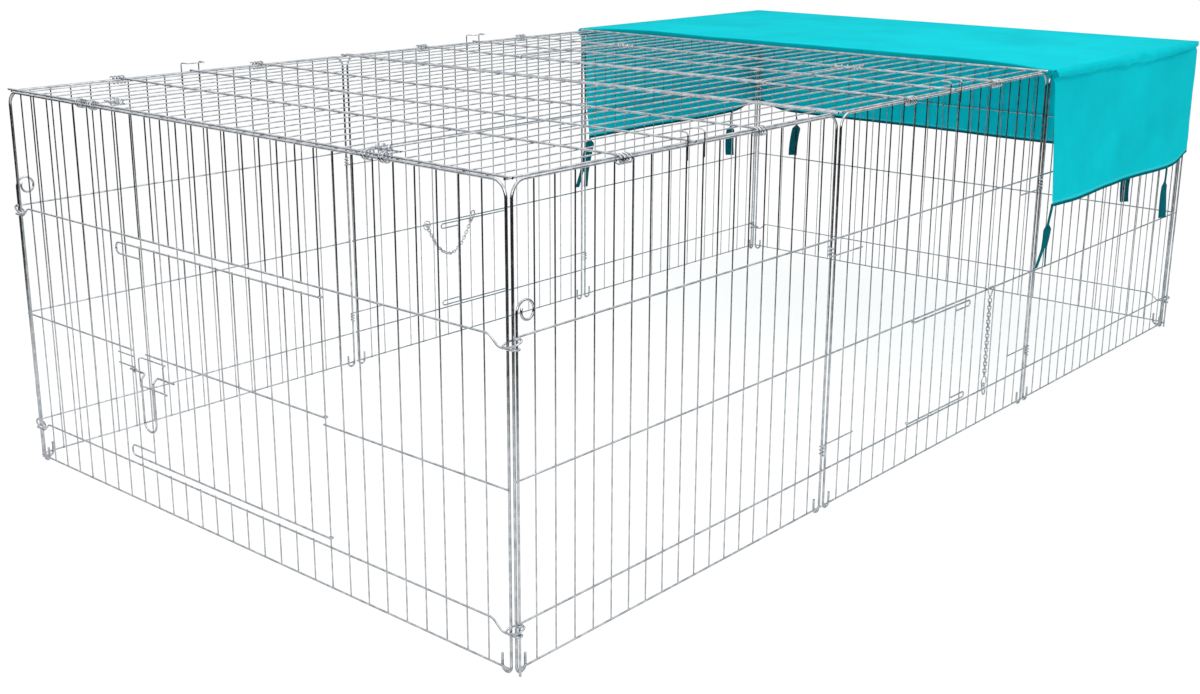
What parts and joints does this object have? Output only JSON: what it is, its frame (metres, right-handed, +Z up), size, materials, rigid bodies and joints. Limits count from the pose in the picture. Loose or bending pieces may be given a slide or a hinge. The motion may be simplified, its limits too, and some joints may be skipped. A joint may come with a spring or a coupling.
{
  "type": "pet run",
  "caption": "Long rectangular wire pet run with pinned folding panels, a wire top with a hatch, an end door with a slide bolt, small side doors and a cloth shade over one end.",
  "frame": {"origin": "middle of the base, on the floor", "axes": "+X along the length from the door end to the covered end, +Y across to the back, +Z up"},
  "size_m": [2.1849, 1.196, 0.6668],
  "materials": {
    "zinc_wire": "bright zinc plated",
    "chain_steel": "bright zinc plated",
    "cover_cloth": "woven, matt",
    "cover_tape": "woven tape"
  },
  "bodies": {
    "run": {"back_chain": "chain_steel", "back_coil_hinges": "zinc_wire", "back_frame_1": "zinc_wire", "back_frame_2": "zinc_wire", "back_frame_3": "zinc_wire", "back_mesh_1": "zinc_wire", "back_mesh_2": "zinc_wire", "back_mesh_3": "zinc_wire", "bolt_keeper": "zinc_wire", "cover_flap_back": "cover_cloth", "cover_flap_end": "cover_cloth", "cover_flap_front": "cover_cloth", "cover_ties": "cover_tape", "cover_top": "cover_cloth", "edge_clips": "zinc_wire", "far_end_frame": "zinc_wire", "far_end_mesh": "zinc_wire", "front_chain": "chain_steel", "front_coil_hinges": "zinc_wire", "front_frame_1": "zinc_wire", "front_frame_2": "zinc_wire", "front_frame_3": "zinc_wire", "front_mesh_1": "zinc_wire", "front_mesh_2": "zinc_wire", "front_mesh_3": "zinc_wire", "near_end_frame": "zinc_wire", "near_end_mesh": "zinc_wire", "rail_loops": "zinc_wire", "top_bars_1": "zinc_wire", "top_bars_2": "zinc_wire", "top_bars_3": "zinc_wire", "top_wires_1": "zinc_wire", "top_wires_2": "zinc_wire", "top_wires_3": "zinc_wire"},
    "pin_near_front": {"pin_near_front": "zinc_wire"},
    "pin_near_back": {"pin_near_back": "zinc_wire"},
    "pin_far_front": {"pin_far_front": "zinc_wire"},
    "pin_far_back": {"pin_far_back": "zinc_wire"},
    "end_door": {"end_door": "zinc_wire", "bolt_guide": "zinc_wire"},
    "door_bolt": {"door_bolt": "zinc_wire"},
    "front_small_door": {"front_small_door": "zinc_wire"},
    "back_small_door": {"back_small_door": "zinc_wire"},
    "top_hatch": {"top_hatch": "zinc_wire"}
  },
  "joints": [
    {"name": "pin_near_front_lift", "type": "slide", "parent": "run", "child": "pin_near_front", "axis": [0, 0, 1], "range_m": [0, 0.46]},
    {"name": "pin_near_back_lift", "type": "slide", "parent": "run", "child": "pin_near_back", "axis": [0, 0, 1], "range_m": [0, 0.46]},
    {"name": "pin_far_front_lift", "type": "slide", "parent": "run", "child": "pin_far_front", "axis": [0, 0, 1], "range_m": [0, 0.145]},
    {"name": "pin_far_back_lift", "type": "slide", "parent": "run", "child": "pin_far_back", "axis": [0, 0, 1], "range_m": [0, 0.145]},
    {"name": "end_door_hinge", "type": "hinge", "parent": "run", "child": "end_door", "pos_m": [-1.07895, -0.21715, 0.268], "axis": [0, 0, 1], "range_deg": [0, 150]},
    {"name": "door_bolt_slide", "type": "slide", "parent": "end_door", "child": "door_bolt", "axis": [0, -1, 0], "range_m": [0, 0.018]},
    {"name": "front_small_door_hinge", "type": "hinge", "parent": "run", "child": "front_small_door", "pos_m": [-0.09316, -0.57895, 0.17], "axis": [0, 0, -1], "range_deg": [0, 150]},
    {"name": "back_small_door_hinge", "type": "hinge", "parent": "run", "child": "back_small_door", "pos_m": [0.09316, 0.57895, 0.17], "axis": [0, 0, -1], "range_deg": [0, 150]},
    {"name": "top_hatch_hinge", "type": "hinge", "parent": "run", "child": "top_hatch", "pos_m": [-0.14905, 0, 0.65139], "axis": [0, -1, 0], "range_deg": [0, 110]}
  ]
}
